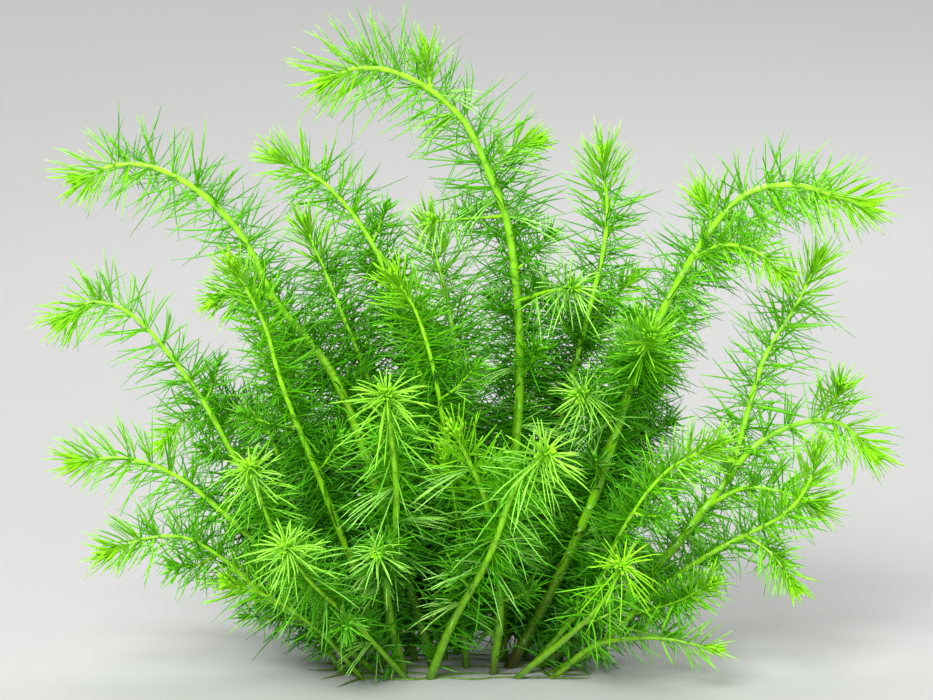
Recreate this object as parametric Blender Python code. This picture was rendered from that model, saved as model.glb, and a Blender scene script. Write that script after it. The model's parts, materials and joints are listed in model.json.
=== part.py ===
"""Stream bogmoss: a bushy clump of leafy water-plant shoots that grow from one creeping rootstock.

The clump is cut off flat at the ground and stands on the flat underside of its rootstock. Each shoot
is a tapering stem and a sleeve of needle leaves around it, and side shoots are fused to the shoot
that they grow from. x runs to the right, y to the back and z up, from the middle of the cut foot.
"""

import math
from collections import namedtuple

import bmesh
import bpy
import numpy as np
from mathutils import Vector

MM = 0.001

# Driving dimensions, in millimetres.
GAP = 0.3  # between a stem and the leaves or the stub next to it
BORE_ROOM = 0.9  # how much wider the hole in the leaves is than the stem in it
LEAF_ROOM = 0.9  # from a leaf tip to the surface halfway to the next shoot
WHORL_STEP = 26  # along a stem, from one modelled bend and whorl to the next
WHORL_PLACE = 0.55  # of a whorl's leaf tips, as a share of that step
WHORL_TURN = 0.1  # of a full turn, from one ring of leaf tips to the next
LOBES = 5  # leaf tips around a whorl
WAIST = 0.66  # how far the leaves reach between two whorls, as a share of the leaf reach
ROSETTE_PLACES = (0.3, 0.82)  # of the last rings of leaves past a stem's tip, as shares of the leaf reach
ROSETTE_WIDTHS = [0.95, 0.3]
STUB_HEIGHT = 6  # the rootstock's stubs, on which the stems stand
RUNNER_WIDTH = 2.8
RUNNER_HEIGHT = 0.3  # of the first runner's middle above the cut
RUNNER_RISE = 0.1  # of each next runner's middle, above the one before
RUNNER_THINNING = 0.07  # of each next runner
GROUND_ROOM = 0.6  # under the lowest leaf tips
ROOT_ROOM = 9  # under the leaves that hang over the rootstock
ROOT_RADIUS = 38
TIP_SHARE = 0.45  # a stem's width at its tip, as a share of its girth
ROUND_GIRTH = 2.4  # of the stems that are modelled with six sides, where thinner ones have four
STUB_SHARE = 1.1  # a stub's width, as a share of its stem's girth
FORK_ROOM = 6.5  # from a main fork's middle to the start of the shoot that leaves there
BARE_LENGTH = 12  # of a stem, below its lowest leaves
SAMPLE_STEP = 2.5  # from one point of a shoot to the next, where the others keep their distance from it
OWN_STEP = 2.0  # the same, where a shoot's leaves keep clear of its own bends

# The shoots' routes are given as they are seen from the front: by a viewer at this distance who
# looks down by this tilt at the middle of the clump, (x, z).
VIEW_DISTANCE = 800
VIEW_TILT = math.radians(7)
VIEW_MIDDLE = (5, 97.5)

# foot is where a shoot leaves the ground, (x, y). seen holds the places that it passes, (across, up)
# as seen from the front, up to its tip. tip_y is how far back the tip lies, in front if negative.
# girth is the stem's width at the foot, and reach how far the leaf tips stand out from its middle.
Shoot = namedtuple("Shoot", "foot seen tip_y girth reach")
SHOOTS = {
    "tall": Shoot(
        (16, 9),
        [
            (16, 28), (20, 70), (21, 99), (18, 132), (12, 150), (5, 165),
            (-5, 175), (-17, 181), (-28, 182), (-36, 179),
        ],
        0, 3.5, 15,
    ),
    "upper_left": Shoot(
        (-5, 0),
        [
            (-12, 26), (-20, 50), (-34, 88), (-52, 112), (-62, 131),
            (-74, 144), (-88, 152), (-100, 153), (-110, 149),
        ],
        -4, 3.3, 12.5,
    ),
    "inner_left": Shoot((-20, -1), [(-26, 24), (-38, 56), (-50, 86), (-56, 106), (-65, 122)], -26, 2.4, 10),
    "left": Shoot(
        (-27, 8),
        [(-36, 16), (-50, 34), (-63, 62), (-76, 85), (-93, 106), (-106, 112), (-115, 107)],
        8, 2.4, 12,
    ),
    "low_left": Shoot(
        (-30, -1), [(-33, 10), (-45, 27), (-62, 43), (-81, 59), (-97, 65), (-111, 64)], -6, 2.2, 12
    ),
    "bottom_left": Shoot(
        (-32, -7), [(-42, 14), (-56, 24), (-67, 34), (-79, 41), (-91, 41), (-102, 37)], -18, 1.8, 11
    ),
    "curled_left": Shoot(
        (-20, 9), [(-33, 22), (-45, 46), (-55, 74), (-65, 81), (-76, 80), (-86, 70)], 26, 1.6, 9
    ),
    "low_wisp": Shoot((-26, -15), [(-38, 12), (-50, 21), (-58, 25), (-66, 27)], -42, 1.4, 12),
    "upper_middle": Shoot(
        (-2, 10), [(-3, 34), (-4, 70), (-12, 100), (-22, 127), (-36, 146), (-51, 155)], 20, 2.6, 12
    ),
    "middle_left": Shoot((-11, 9), [(-14, 34), (-22, 80), (-33, 110), (-43, 134)], 12, 2.2, 11),
    "middle": Shoot((5, 0), [(2, 40), (-3, 82), (-9, 106), (-16, 119)], -24, 2.2, 11),
    "upright": Shoot((23, 14), [(26, 40), (33, 76), (41, 106), (47, 134), (46, 155)], 14, 2.6, 12),
    "right_arch": Shoot(
        (18, 0),
        [
            (29, 22), (42, 50), (49, 70), (57, 94), (72, 124),
            (87, 143), (102, 147), (115, 144), (124, 141),
        ],
        -6, 3.5, 13,
    ),
    "right_back": Shoot(
        (27, 8), [(45, 46), (57, 81), (68, 110), (82, 129), (98, 140), (112, 144)], 24, 2.2, 10
    ),
    "low_right": Shoot(
        (27, 1),
        [(45, 15), (63, 33), (79, 53), (92, 69), (107, 76), (118, 75), (126, 67)],
        4, 3.1, 12,
    ),
    "far_right": Shoot(
        (31, -6), [(45, 9), (63, 26), (81, 38), (100, 48), (108, 58), (110, 66)], -22, 2.2, 9
    ),
    "bottom_right": Shoot((31, -13), [(44, 9), (62, 11), (78, 8)], -30, 1.8, 10),
    "star": Shoot((-14, -8), [(-19, 26), (-16, 52), (-19, 84)], -62, 2.8, 12),
    "front_middle": Shoot((13, -8), [(15, 22), (11, 51), (2, 72)], -60, 2.6, 12),
    "front_right": Shoot((-6, -14), [(1, 16), (12, 36), (20, 57), (29, 66)], -66, 2.7, 13),
    "front_left": Shoot((-22, -8), [(-34, 12), (-50, 36), (-60, 62)], -44, 2.0, 11),
    "front_low_left": Shoot((-13, -14), [(-28, 15), (-42, 28), (-49, 38)], -62, 1.8, 11),
    "front_low_right": Shoot((20, -13), [(36, 12), (46, 22), (52, 33)], -60, 2.0, 12),
    "ringed_right": Shoot((23, -7), [(43, 25), (52, 44), (65, 61), (80, 69)], -46, 1.8, 10),
    "back_left": Shoot((-12, 16), [(-30, 40), (-44, 74), (-52, 98)], 76, 2.4, 13),
    "back_middle": Shoot((2, 18), [(4, 50), (2, 96), (-6, 134)], 62, 2.6, 14),
    "back_right": Shoot((14, 16), [(36, 42), (52, 76), (60, 104)], 78, 2.4, 13),
}

# A side shoot starts at the place of its parent that is seen at the first point of its route.
Fork = namedtuple("Fork", "parent seen tip_y girth reach")
FORKS = {
    "crown": Fork("tall", [(-5, 176), (-7, 185)], 4, 1.6, 12),
    "shoulder": Fork("tall", [(13, 150), (19, 158), (25, 160)], 6, 1.4, 10),
    "fan": Fork("tall", [(20, 112), (29, 115), (37, 116)], -8, 1.4, 12),
    "left_fan": Fork("tall", [(19, 138), (6, 137), (-6, 136)], 0, 1.2, 9),
    "perch": Fork("upper_left", [(-52, 112), (-60, 116), (-70, 113)], -8, 1.6, 10),
    "right_wisp": Fork("upright", [(36, 97), (45, 109), (55, 119)], 24, 1.2, 8),
    "arch_crown": Fork("right_arch", [(79, 132), (78, 139), (76, 143)], 2, 1.4, 11),
    "arch_low": Fork("right_arch", [(73, 124), (82, 129), (92, 127), (99, 121)], -16, 1.4, 9),
    "arch_front": Fork("right_arch", [(53, 84), (57, 93), (60, 102)], -34, 1.6, 11),
    "arch_fan": Fork("right_arch", [(49, 72), (44, 82), (39, 84)], -14, 1.4, 11),
    "raised": Fork("low_right", [(112, 76), (115, 82), (117, 86)], -6, 1.4, 11),
    "drooping": Fork("low_right", [(77, 50), (88, 56), (99, 55), (109, 51)], -10, 1.6, 12),
    "far_low": Fork("far_right", [(89, 41), (97, 36), (103, 27)], -26, 1.2, 9),
    "far_tuft": Fork("far_right", [(55, 18), (68, 22), (78, 27)], -34, 1.2, 9),
    "back_side": Fork("back_middle", [(4, 50), (-6, 70), (-14, 84)], 70, 1.6, 11),
    "back_corner": Fork("back_left", [(-30, 40), (-44, 52), (-58, 62)], 58, 1.4, 11),
    "back_turn": Fork("back_right", [(38, 44), (54, 54), (70, 60)], 56, 1.4, 11),
    "back_low": Fork("back_middle", [(3, 42), (12, 56), (20, 66)], 74, 1.4, 11),
    "star_low": Fork("star", [(-18, 28), (-22, 37)], -46, 1.2, 8),
    "front_thin": Fork("front_middle", [(14, 10), (8, 19), (4, 36), (1, 55), (-1, 64)], -40, 1.6, 9),
}

# The main fork of the low shoot at the right grows into a shoot of its own.
RIGHT_UPRIGHT = Fork("low_right", [(84, 60), (87, 70), (94, 94), (104, 111), (110, 123)], 8, 2.0, 12)

# The creeping stems of the rootstock, each by the places (x, y) that it passes on the ground. The
# feet of the shoots lie on them.
RUNNERS = [
    [(-28, -15), (0, -14), (33, -13)],
    [(-34, -7), (0, -9), (33, -6)],
    [(-32, -1), (0, 0), (30, 1)],
    [(-29, 8), (0, 10), (29, 8)],
    [(-16, 16), (4, 18), (25, 14)],
    [(-26, -16), (-30, -2), (-27, 9), (-12, 17)],
    [(30, -14), (28, 0), (22, 16)],
]

LEAF_GREEN = (0.10, 0.42, 0.02, 1)
STEM_GREEN = (0.30, 0.42, 0.08, 1)
ROOT_BROWN = (0.16, 0.12, 0.04, 1)


def from_seen(across, up, y):
    """The point at depth y that is seen from the front at (across, up)."""
    side = (across - VIEW_MIDDLE[0]) / VIEW_DISTANCE
    rise = (up - VIEW_MIDDLE[1]) / VIEW_DISTANCE
    tilt_cos, tilt_sin = math.cos(VIEW_TILT), math.sin(VIEW_TILT)
    away = (y + VIEW_DISTANCE * tilt_cos) / (tilt_cos + rise * tilt_sin)
    x = VIEW_MIDDLE[0] + side * away
    z = VIEW_MIDDLE[1] + VIEW_DISTANCE * tilt_sin + away * (rise * tilt_cos - tilt_sin)
    return np.array([x, y, z])


def to_seen(point):
    """Where a point is seen from the front, as (across, up)."""
    x, y, z = point
    tilt_cos, tilt_sin = math.cos(VIEW_TILT), math.sin(VIEW_TILT)
    ahead, above = y + VIEW_DISTANCE * tilt_cos, z - VIEW_MIDDLE[1] - VIEW_DISTANCE * tilt_sin
    away = ahead * tilt_cos - above * tilt_sin
    side = (x - VIEW_MIDDLE[0]) * VIEW_DISTANCE / away
    rise = (ahead * tilt_sin + above * tilt_cos) * VIEW_DISTANCE / away
    return np.array([VIEW_MIDDLE[0] + side, VIEW_MIDDLE[1] + rise])


def smooth_curve(points, steps=14):
    """A Catmull-Rom curve through the points, with this many steps from one to the next."""
    points = np.array(points, float)
    ends = 2 * points[0] - points[1], 2 * points[-1] - points[-2]
    points = np.vstack([ends[0], points, ends[1]])
    curve = []
    for a, b, c, d in zip(points, points[1:], points[2:], points[3:]):
        for t in np.arange(steps) / steps:
            bend = (2 * a - 5 * b + 4 * c - d) * t**2 + (3 * b - a - 3 * c + d) * t**3
            curve.append(b + 0.5 * ((c - a) * t + bend))
    return np.array(curve + [points[-2]])


def lengths_along(curve):
    steps = np.linalg.norm(np.diff(curve, axis=0), axis=1)
    return np.concatenate([[0], np.cumsum(steps)])


def points_at(curve, places):
    """The points of a curve at these distances along it. Past its end it runs straight on."""
    along = lengths_along(curve)
    inside = np.stack([np.interp(places, along, curve[:, k]) for k in range(3)], 1)
    ahead = (curve[-1] - curve[-2]) / np.linalg.norm(curve[-1] - curve[-2])
    return inside + np.maximum(np.array(places) - along[-1], 0)[:, None] * ahead


def points_every(step, curve):
    return points_at(curve, np.arange(0, lengths_along(curve)[-1], step))


def route_of(start, seen, tip_y):
    """A shoot's centreline from its start, a point in space, past the seen places to its tip."""
    first = to_seen(start)
    plan = smooth_curve([first] + [np.array(place, float) for place in seen])
    share = lengths_along(plan) / lengths_along(plan)[-1]
    depth = start[1] + (tip_y - start[1]) * share**1.25
    return np.array([from_seen(across, up, y) for (across, up), y in zip(plan, depth)])


def fork_route(fork, bends):
    """A side shoot's centreline, from the middle of its parent's modelled stem."""
    middles = points_every(0.5, bends)
    places = np.array([to_seen(middle) for middle in middles])
    start = middles[np.argmin(np.linalg.norm(places - fork.seen[0], axis=1))]
    return route_of(start, fork.seen[1:], fork.tip_y)


def part_of(curve, start, end=None):
    """A curve's stretch from one distance along it to another, or to its end."""
    along = lengths_along(curve)
    end = along[-1] if end is None else end
    inner = curve[(along > start + 0.2) & (along < end - 0.2)]
    return np.vstack([points_at(curve, [start]), inner, points_at(curve, [end])])


def bends_of(curve):
    """The few points of a curve at which its modelled tube bends."""
    length = lengths_along(curve)[-1]
    count = max(2, round(length / WHORL_STEP) + 1)
    return points_at(curve, np.linspace(0, length, count))


def tube(name, points, girths, collection, sides):
    """A closed tube through the points, with these widths and four or six sides, as a mesh object."""
    data = bpy.data.curves.new(name, "CURVE")
    data.dimensions = "3D"
    data.bevel_depth = MM / 2
    data.bevel_resolution = sides // 2 - 2
    data.use_fill_caps = True
    spline = data.splines.new("POLY")
    spline.points.add(len(points) - 1)
    for spot, place, girth in zip(spline.points, points, girths):
        spot.co = (*(place * MM), 1)
        spot.radius = girth
    curve = bpy.data.objects.new(name, data)
    bpy.context.scene.collection.objects.link(curve)
    bpy.context.view_layer.update()
    ready = curve.evaluated_get(bpy.context.evaluated_depsgraph_get())
    mesh = bpy.data.meshes.new_from_object(ready)
    bpy.data.objects.remove(curve)
    shape = bmesh.new()
    shape.from_mesh(mesh)
    bmesh.ops.remove_doubles(shape, verts=shape.verts, dist=0.00001)
    bmesh.ops.recalc_face_normals(shape, faces=shape.faces)
    shape.to_mesh(mesh)
    shape.free()
    solid = bpy.data.objects.new(name, mesh)
    collection.objects.link(solid)
    return solid


def frames_along(points):
    """Two unit vectors square to the line at each point, turned as little as can be on the way."""
    ahead = np.gradient(points, axis=0)
    ahead /= np.linalg.norm(ahead, axis=1)[:, None]
    side = Vector((0, 1, 0)).cross(Vector(ahead[0]))
    side = (side if side.length > 0.1 else Vector((1, 0, 0))).normalized()
    sides = []
    before = Vector(ahead[0])
    for direction in ahead:
        now = Vector(direction)
        side = before.rotation_difference(now) @ side
        side = (side - now * side.dot(now)).normalized()
        sides.append(np.array(side))
        before = now
    sides = np.array(sides)
    return sides, np.cross(ahead, sides)


def room_towards(centre, direction, others, spare):
    """How far the centre's own room reaches: halfway to the other points, less something spare."""
    apart = others - centre
    along = apart @ direction
    distance = np.linalg.norm(apart, axis=1)
    ahead = along > 0.05 * distance
    room = (distance[ahead] / 2 - spare) * distance[ahead] / along[ahead]
    return room.min(initial=math.inf)


def drop_towards(centre, direction):
    """How far a leaf may hang before it is too near the ground or the rootstock."""
    floor = ROOT_ROOM if math.hypot(centre[0], centre[1]) < ROOT_RADIUS else GROUND_ROOM
    return (centre[2] - floor) / -direction[2] if direction[2] < -0.01 else math.inf


def sleeve(name, bends, reach, girth, others, collection):
    """The leaves along a stem's bends as one closed form, whorl after whorl, with a rosette at its tip.

    It stays halfway from the others, which are the points of all the other shoots.
    """
    length = lengths_along(bends)[-1]
    along = lengths_along(bends)
    stations, widths = [], []
    for below, above in zip(along, along[1:]):
        stations += [below, below + WHORL_PLACE * (above - below)]
        widths += [WAIST, 1.0]
    stations += [length + place * reach for place in ROSETTE_PLACES]
    widths += ROSETTE_WIDTHS
    centres = points_at(bends, stations)
    own = points_every(OWN_STEP, bends)
    sides, ups = frames_along(centres)
    least = girth / 2 + BORE_ROOM
    shape = bmesh.new()
    rings = []
    for index, (centre, side, up, width) in enumerate(zip(centres, sides, ups, widths)):
        near = [centre, *((centres[max(0, index - 1) : index + 2] + centre) / 2)]
        ring = []
        for corner in range(LOBES):
            turn = math.tau * (corner / LOBES + index * WHORL_TURN)
            outwards = side * math.cos(turn) + up * math.sin(turn)
            room = min(room_towards(spot, outwards, others, LEAF_ROOM) for spot in near)
            bend = 0.8 * room_towards(centre, outwards, own, 0)
            spread = max(least, min(reach * width, room, bend, drop_towards(centre, outwards)))
            ring.append(shape.verts.new((centre + outwards * spread) * MM))
        rings.append(ring)
    for ring, above in zip(rings, rings[1:]):
        for corner in range(LOBES):
            after = (corner + 1) % LOBES
            shape.faces.new((ring[corner], ring[after], above[after], above[corner]))
    shape.faces.new(rings[0][::-1])
    shape.faces.new(rings[-1])
    bmesh.ops.triangulate(shape, faces=shape.faces)
    mesh = bpy.data.meshes.new(name)
    shape.to_mesh(mesh)
    shape.free()
    solid = bpy.data.objects.new(name, mesh)
    collection.objects.link(solid)
    return solid


def combine(solid, other, operation):
    """Joins the other solid to this one, or takes it away, and leaves the result as plain mesh."""
    modifier = solid.modifiers.new("shape", "BOOLEAN")
    modifier.operation = operation
    modifier.object = other
    bpy.context.view_layer.update()
    ready = solid.evaluated_get(bpy.context.evaluated_depsgraph_get())
    mesh = bpy.data.meshes.new_from_object(ready)
    solid.modifiers.clear()
    solid.data = mesh
    bpy.data.objects.remove(other)


def finish(solid, material):
    solid.data.materials.clear()
    solid.data.materials.append(material)


def principled(name, colour, roughness):
    made = bpy.data.materials.new(name)
    made.use_nodes = True
    shader = made.node_tree.nodes["Principled BSDF"]
    shader.inputs["Base Color"].default_value = colour
    shader.inputs["Roughness"].default_value = roughness
    return made


def stem_sides(line):
    """How many sides a stem is modelled with: six, or four if it is thin."""
    return 6 if line[1][0] >= ROUND_GIRTH else 4


def add_stem(name, lines, plant, cutters):
    """A stem, the first of the lines, with the stems of its side shoots fused to it.

    Each line is the bends of one stem and its widths there.
    """
    solid = tube("stem_" + name, *lines[0], plant, stem_sides(lines[0]))
    for line in lines[1:]:
        combine(solid, tube("branch", *line, cutters, stem_sides(line)), "UNION")
    return solid


def add_leaves(name, lines, reaches, others, plant, cutters):
    """The leaves of a shoot and of its side shoots, fused, with room inside for their stems."""
    solid = None
    for (bends, girths), reach in zip(lines, reaches):
        if solid is None:
            leafy = np.vstack([points_at(bends, [BARE_LENGTH]), bends[1:]])
            solid = sleeve("leaves_" + name, leafy, reach, girths[0], others, plant)
        else:
            combine(solid, sleeve("side", bends, reach, girths[0], others, cutters), "UNION")
    for bends, girths in lines:
        ahead = (bends[-1] - bends[-2]) / np.linalg.norm(bends[-1] - bends[-2])
        longer = np.vstack([bends[:-1], bends[-1] + ahead * 2 * GAP])
        bore = tube("bore", longer, girths + BORE_ROOM, cutters, stem_sides((bends, girths)))
        combine(solid, bore, "DIFFERENCE")
    return solid


def add_rootstock(routes, plant, cutters):
    """The creeping stems that join the feet, with a stub under each stem, cut off flat below."""
    solid = None
    for number, places in enumerate(RUNNERS):
        height = RUNNER_HEIGHT + RUNNER_RISE * number
        line = np.array([(*place, height) for place in places], float)
        widths = np.linspace(1, 0.9, len(line)) * (RUNNER_WIDTH - RUNNER_THINNING * number)
        if solid is None:
            solid = tube("rootstock", line, widths, plant, 4)
        else:
            combine(solid, tube("runner", line, widths, cutters, 4), "UNION")
    for name, shoot in SHOOTS.items():
        top = points_at(routes[name], [STUB_HEIGHT])[0]
        foot = routes[name][0]
        line = np.array([foot - (top - foot) * 0.3, top])
        stub = tube("stub", line, np.full(2, shoot.girth * STUB_SHARE), cutters, 4)
        combine(solid, stub, "UNION")
    bpy.ops.mesh.primitive_cube_add(size=1, location=(0, 0, -0.01))
    ground = bpy.context.object
    ground.scale = (0.2, 0.2, 0.02)
    combine(solid, ground, "DIFFERENCE")
    return solid


def tapered(route, girth):
    """A stem's bends and its widths there."""
    bends = bends_of(route)
    return bends, np.linspace(girth, girth * TIP_SHARE, len(bends))


def build():
    for item in list(bpy.data.objects):
        bpy.data.objects.remove(item)
    plant = bpy.data.collections.new("stream bogmoss")
    cutters = bpy.data.collections.new("cutters")
    bpy.context.scene.collection.children.link(plant)
    bpy.context.scene.collection.children.link(cutters)

    routes = {
        name: route_of(np.array([*shoot.foot, 0.0]), shoot.seen, shoot.tip_y)
        for name, shoot in SHOOTS.items()
    }
    lines = {
        name: [tapered(part_of(route, STUB_HEIGHT + GAP), SHOOTS[name].girth)]
        for name, route in routes.items()
    }
    reaches = {name: [shoot.reach] for name, shoot in SHOOTS.items()}
    for fork in FORKS.values():
        parent = lines[fork.parent]
        parent.append(tapered(fork_route(fork, parent[0][0]), fork.girth))
        reaches[fork.parent].append(fork.reach)
    raised = fork_route(RIGHT_UPRIGHT, lines[RIGHT_UPRIGHT.parent][0][0])
    lines["right_upright"] = [tapered(part_of(raised, FORK_ROOM), RIGHT_UPRIGHT.girth)]
    reaches["right_upright"] = [RIGHT_UPRIGHT.reach]

    samples = {
        name: np.vstack([points_every(SAMPLE_STEP, bends) for bends, _ in group])
        for name, group in lines.items()
    }
    root_finish = principled("rootstock", ROOT_BROWN, 0.6)
    stem_finish = principled("stems", STEM_GREEN, 0.4)
    leaf_finish = principled("leaves", LEAF_GREEN, 0.35)
    finish(add_rootstock(routes, plant, cutters), root_finish)
    for name, group in lines.items():
        others = np.vstack([points for other, points in samples.items() if other != name])
        finish(add_stem(name, group, plant, cutters), stem_finish)
        finish(add_leaves(name, group, reaches[name], others, plant, cutters), leaf_finish)


if __name__ == "__main__":
    build()
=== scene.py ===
"""Stream bogmoss: a clump of round green stems with whorls of needle leaves, in a plain pale studio."""

import json
import math
from collections import namedtuple

import bmesh
import bpy
import numpy as np
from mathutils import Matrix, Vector

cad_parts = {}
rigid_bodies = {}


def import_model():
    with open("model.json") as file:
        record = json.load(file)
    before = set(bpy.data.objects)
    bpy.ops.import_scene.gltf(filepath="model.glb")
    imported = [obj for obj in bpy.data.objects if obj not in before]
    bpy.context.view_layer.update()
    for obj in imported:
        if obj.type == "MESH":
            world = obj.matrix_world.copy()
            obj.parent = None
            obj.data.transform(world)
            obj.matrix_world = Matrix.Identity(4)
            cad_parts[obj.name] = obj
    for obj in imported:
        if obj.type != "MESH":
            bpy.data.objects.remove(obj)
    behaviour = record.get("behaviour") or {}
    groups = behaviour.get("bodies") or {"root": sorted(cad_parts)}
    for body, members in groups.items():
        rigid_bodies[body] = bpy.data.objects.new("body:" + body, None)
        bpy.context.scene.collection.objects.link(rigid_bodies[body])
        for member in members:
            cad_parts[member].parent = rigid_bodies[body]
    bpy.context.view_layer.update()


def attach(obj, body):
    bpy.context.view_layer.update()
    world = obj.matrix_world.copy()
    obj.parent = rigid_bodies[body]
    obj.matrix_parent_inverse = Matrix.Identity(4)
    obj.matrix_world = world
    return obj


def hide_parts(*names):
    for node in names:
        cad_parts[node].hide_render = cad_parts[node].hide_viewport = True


for item in list(bpy.data.objects):
    bpy.data.objects.remove(item)
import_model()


# The stems. Each shoot grows on one round, juicy stem that tapers from the ground to its growing tip,
# with a swollen ring at every node where a whorl of leaves sits. Its side shoots leave it at a node
# and are one piece with it. Young stem is yellow green, old stem is darker and bare near the ground.
MM = 0.001
VIEW_DISTANCE = 800  # the places below are seen from here, in millimetres, looking down by the tilt
VIEW_TILT = math.radians(7)
VIEW_MIDDLE = (5, 97.5)

# foot is where a shoot leaves the ground, (x, y). seen holds the places that it passes, (across, up)
# as seen from the front, up to its tip. tip_y is how far back the tip lies, in front if negative.
# girth is the stem's width at the foot, and reach how far the leaf tips stand out from its middle.
Shoot = namedtuple("Shoot", "foot seen tip_y girth reach")
SHOOTS = {
    "tall": Shoot(
        (16, 9),
        [
            (16, 28), (20, 70), (21, 99), (18, 132), (12, 150), (5, 165),
            (-5, 175), (-17, 181), (-28, 182), (-36, 179),
        ],
        0, 3.5, 15,
    ),
    "upper_left": Shoot(
        (-5, 0),
        [
            (-12, 26), (-20, 50), (-34, 88), (-52, 112), (-62, 131),
            (-74, 144), (-88, 152), (-100, 153), (-110, 149),
        ],
        -4, 3.3, 12.5,
    ),
    "inner_left": Shoot((-20, -1), [(-26, 24), (-38, 56), (-50, 86), (-56, 106), (-65, 122)], -26, 2.4, 10),
    "left": Shoot(
        (-27, 8),
        [(-36, 16), (-50, 34), (-63, 62), (-76, 85), (-93, 106), (-106, 112), (-115, 107)],
        8, 2.4, 12,
    ),
    "low_left": Shoot(
        (-30, -1), [(-33, 10), (-45, 27), (-62, 43), (-81, 59), (-97, 65), (-111, 64)], -6, 2.2, 12
    ),
    "bottom_left": Shoot(
        (-32, -7), [(-42, 14), (-56, 24), (-67, 34), (-79, 41), (-91, 41), (-102, 37)], -18, 1.8, 11
    ),
    "curled_left": Shoot(
        (-20, 9), [(-33, 22), (-45, 46), (-55, 74), (-65, 81), (-76, 80), (-86, 70)], 26, 1.6, 9
    ),
    "low_wisp": Shoot((-26, -15), [(-38, 12), (-50, 21), (-58, 25), (-66, 27)], -42, 1.4, 12),
    "upper_middle": Shoot(
        (-2, 10), [(-3, 34), (-4, 70), (-12, 100), (-22, 127), (-36, 146), (-51, 155)], 20, 2.6, 12
    ),
    "middle_left": Shoot((-11, 9), [(-14, 34), (-22, 80), (-33, 110), (-43, 134)], 12, 2.2, 11),
    "middle": Shoot((5, 0), [(2, 40), (-3, 82), (-9, 106), (-16, 119)], -24, 2.2, 11),
    "upright": Shoot((23, 14), [(26, 40), (33, 76), (41, 106), (47, 134), (46, 155)], 14, 2.6, 12),
    "right_arch": Shoot(
        (18, 0),
        [
            (29, 22), (42, 50), (49, 70), (57, 94), (72, 124),
            (87, 143), (102, 147), (115, 144), (124, 141),
        ],
        -6, 3.5, 13,
    ),
    "right_back": Shoot(
        (27, 8), [(45, 46), (57, 81), (68, 110), (82, 129), (98, 140), (112, 144)], 24, 2.2, 10
    ),
    "low_right": Shoot(
        (27, 1),
        [(45, 15), (63, 33), (79, 53), (92, 69), (107, 76), (118, 75), (126, 67)],
        4, 3.1, 12,
    ),
    "far_right": Shoot(
        (31, -6), [(45, 9), (63, 26), (81, 38), (100, 48), (108, 58), (110, 66)], -22, 2.2, 9
    ),
    "bottom_right": Shoot((31, -13), [(44, 9), (62, 11), (78, 8)], -30, 1.8, 10),
    "star": Shoot((-14, -8), [(-19, 26), (-16, 52), (-19, 84)], -62, 2.8, 12),
    "front_middle": Shoot((13, -8), [(15, 22), (11, 51), (2, 72)], -60, 2.6, 12),
    "front_right": Shoot((-6, -14), [(1, 16), (12, 36), (20, 57), (29, 66)], -66, 2.7, 13),
    "front_left": Shoot((-22, -8), [(-34, 12), (-50, 36), (-60, 62)], -44, 2.0, 11),
    "front_low_left": Shoot((-13, -14), [(-28, 15), (-42, 28), (-49, 38)], -62, 1.8, 11),
    "front_low_right": Shoot((20, -13), [(36, 12), (46, 22), (52, 33)], -60, 2.0, 12),
    "ringed_right": Shoot((23, -7), [(43, 25), (52, 44), (65, 61), (80, 69)], -46, 1.8, 10),
    "back_left": Shoot((-12, 16), [(-30, 40), (-44, 74), (-52, 98)], 76, 2.4, 13),
    "back_middle": Shoot((2, 18), [(4, 50), (2, 96), (-6, 134)], 62, 2.6, 14),
    "back_right": Shoot((14, 16), [(36, 42), (52, 76), (60, 104)], 78, 2.4, 13),
}

# A side shoot starts where its parent is seen at the first place of its route.
Fork = namedtuple("Fork", "parent seen tip_y girth reach")
FORKS = {
    "crown": Fork("tall", [(-5, 176), (-7, 185)], 4, 1.6, 12),
    "shoulder": Fork("tall", [(13, 150), (19, 158), (25, 160)], 6, 1.4, 10),
    "fan": Fork("tall", [(20, 112), (29, 115), (37, 116)], -8, 1.4, 12),
    "left_fan": Fork("tall", [(19, 138), (6, 137), (-6, 136)], 0, 1.2, 9),
    "perch": Fork("upper_left", [(-52, 112), (-60, 116), (-70, 113)], -8, 1.6, 10),
    "right_wisp": Fork("upright", [(36, 97), (45, 109), (55, 119)], 24, 1.2, 8),
    "arch_crown": Fork("right_arch", [(79, 132), (78, 139), (76, 143)], 2, 1.4, 11),
    "arch_low": Fork("right_arch", [(73, 124), (82, 129), (92, 127), (99, 121)], -16, 1.4, 9),
    "arch_front": Fork("right_arch", [(53, 84), (57, 93), (60, 102)], -34, 1.6, 11),
    "arch_fan": Fork("right_arch", [(49, 72), (44, 82), (39, 84)], -14, 1.4, 11),
    "raised": Fork("low_right", [(112, 76), (115, 82), (117, 86)], -6, 1.4, 11),
    "drooping": Fork("low_right", [(77, 50), (88, 56), (99, 55), (109, 51)], -10, 1.6, 12),
    "far_low": Fork("far_right", [(89, 41), (97, 36), (103, 27)], -26, 1.2, 9),
    "far_tuft": Fork("far_right", [(55, 18), (68, 22), (78, 27)], -34, 1.2, 9),
    "back_side": Fork("back_middle", [(4, 50), (-6, 70), (-14, 84)], 70, 1.6, 11),
    "back_corner": Fork("back_left", [(-30, 40), (-44, 52), (-58, 62)], 58, 1.4, 11),
    "back_turn": Fork("back_right", [(38, 44), (54, 54), (70, 60)], 56, 1.4, 11),
    "back_low": Fork("back_middle", [(3, 42), (12, 56), (20, 66)], 74, 1.4, 11),
    "star_low": Fork("star", [(-18, 28), (-22, 37)], -46, 1.2, 8),
    "front_thin": Fork("front_middle", [(14, 10), (8, 19), (4, 36), (1, 55), (-1, 64)], -40, 1.6, 9),
}
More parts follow.
